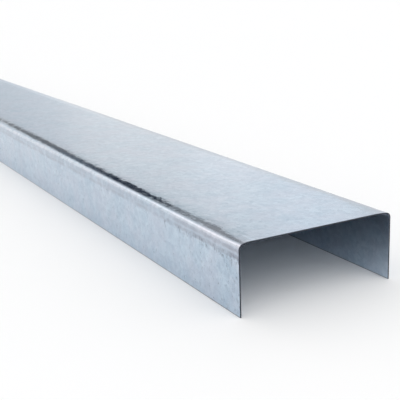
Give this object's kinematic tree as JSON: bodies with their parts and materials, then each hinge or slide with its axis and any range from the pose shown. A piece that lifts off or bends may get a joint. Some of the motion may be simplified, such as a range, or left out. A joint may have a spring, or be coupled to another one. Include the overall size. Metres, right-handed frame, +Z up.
{
  "type": "drywall track",
  "caption": "Plain U-shaped channel of galvanised sheet steel that is fixed along a floor or ceiling to hold the ends of wall studs.",
  "frame": {"origin": "on the floor under the middle of the stock: midway along its length, midway between the legs, at the level of the toes", "axes": "+X along the stock, +Y across the web, +Z up, out of the web's outer face"},
  "size_m": [3.048, 0.0936, 0.0381],
  "materials": {
    "galvanised_steel": "hot-dip galvanised, fine dull spangle"
  },
  "bodies": {
    "root": {"track": "galvanised_steel"}
  },
  "joints": []
}
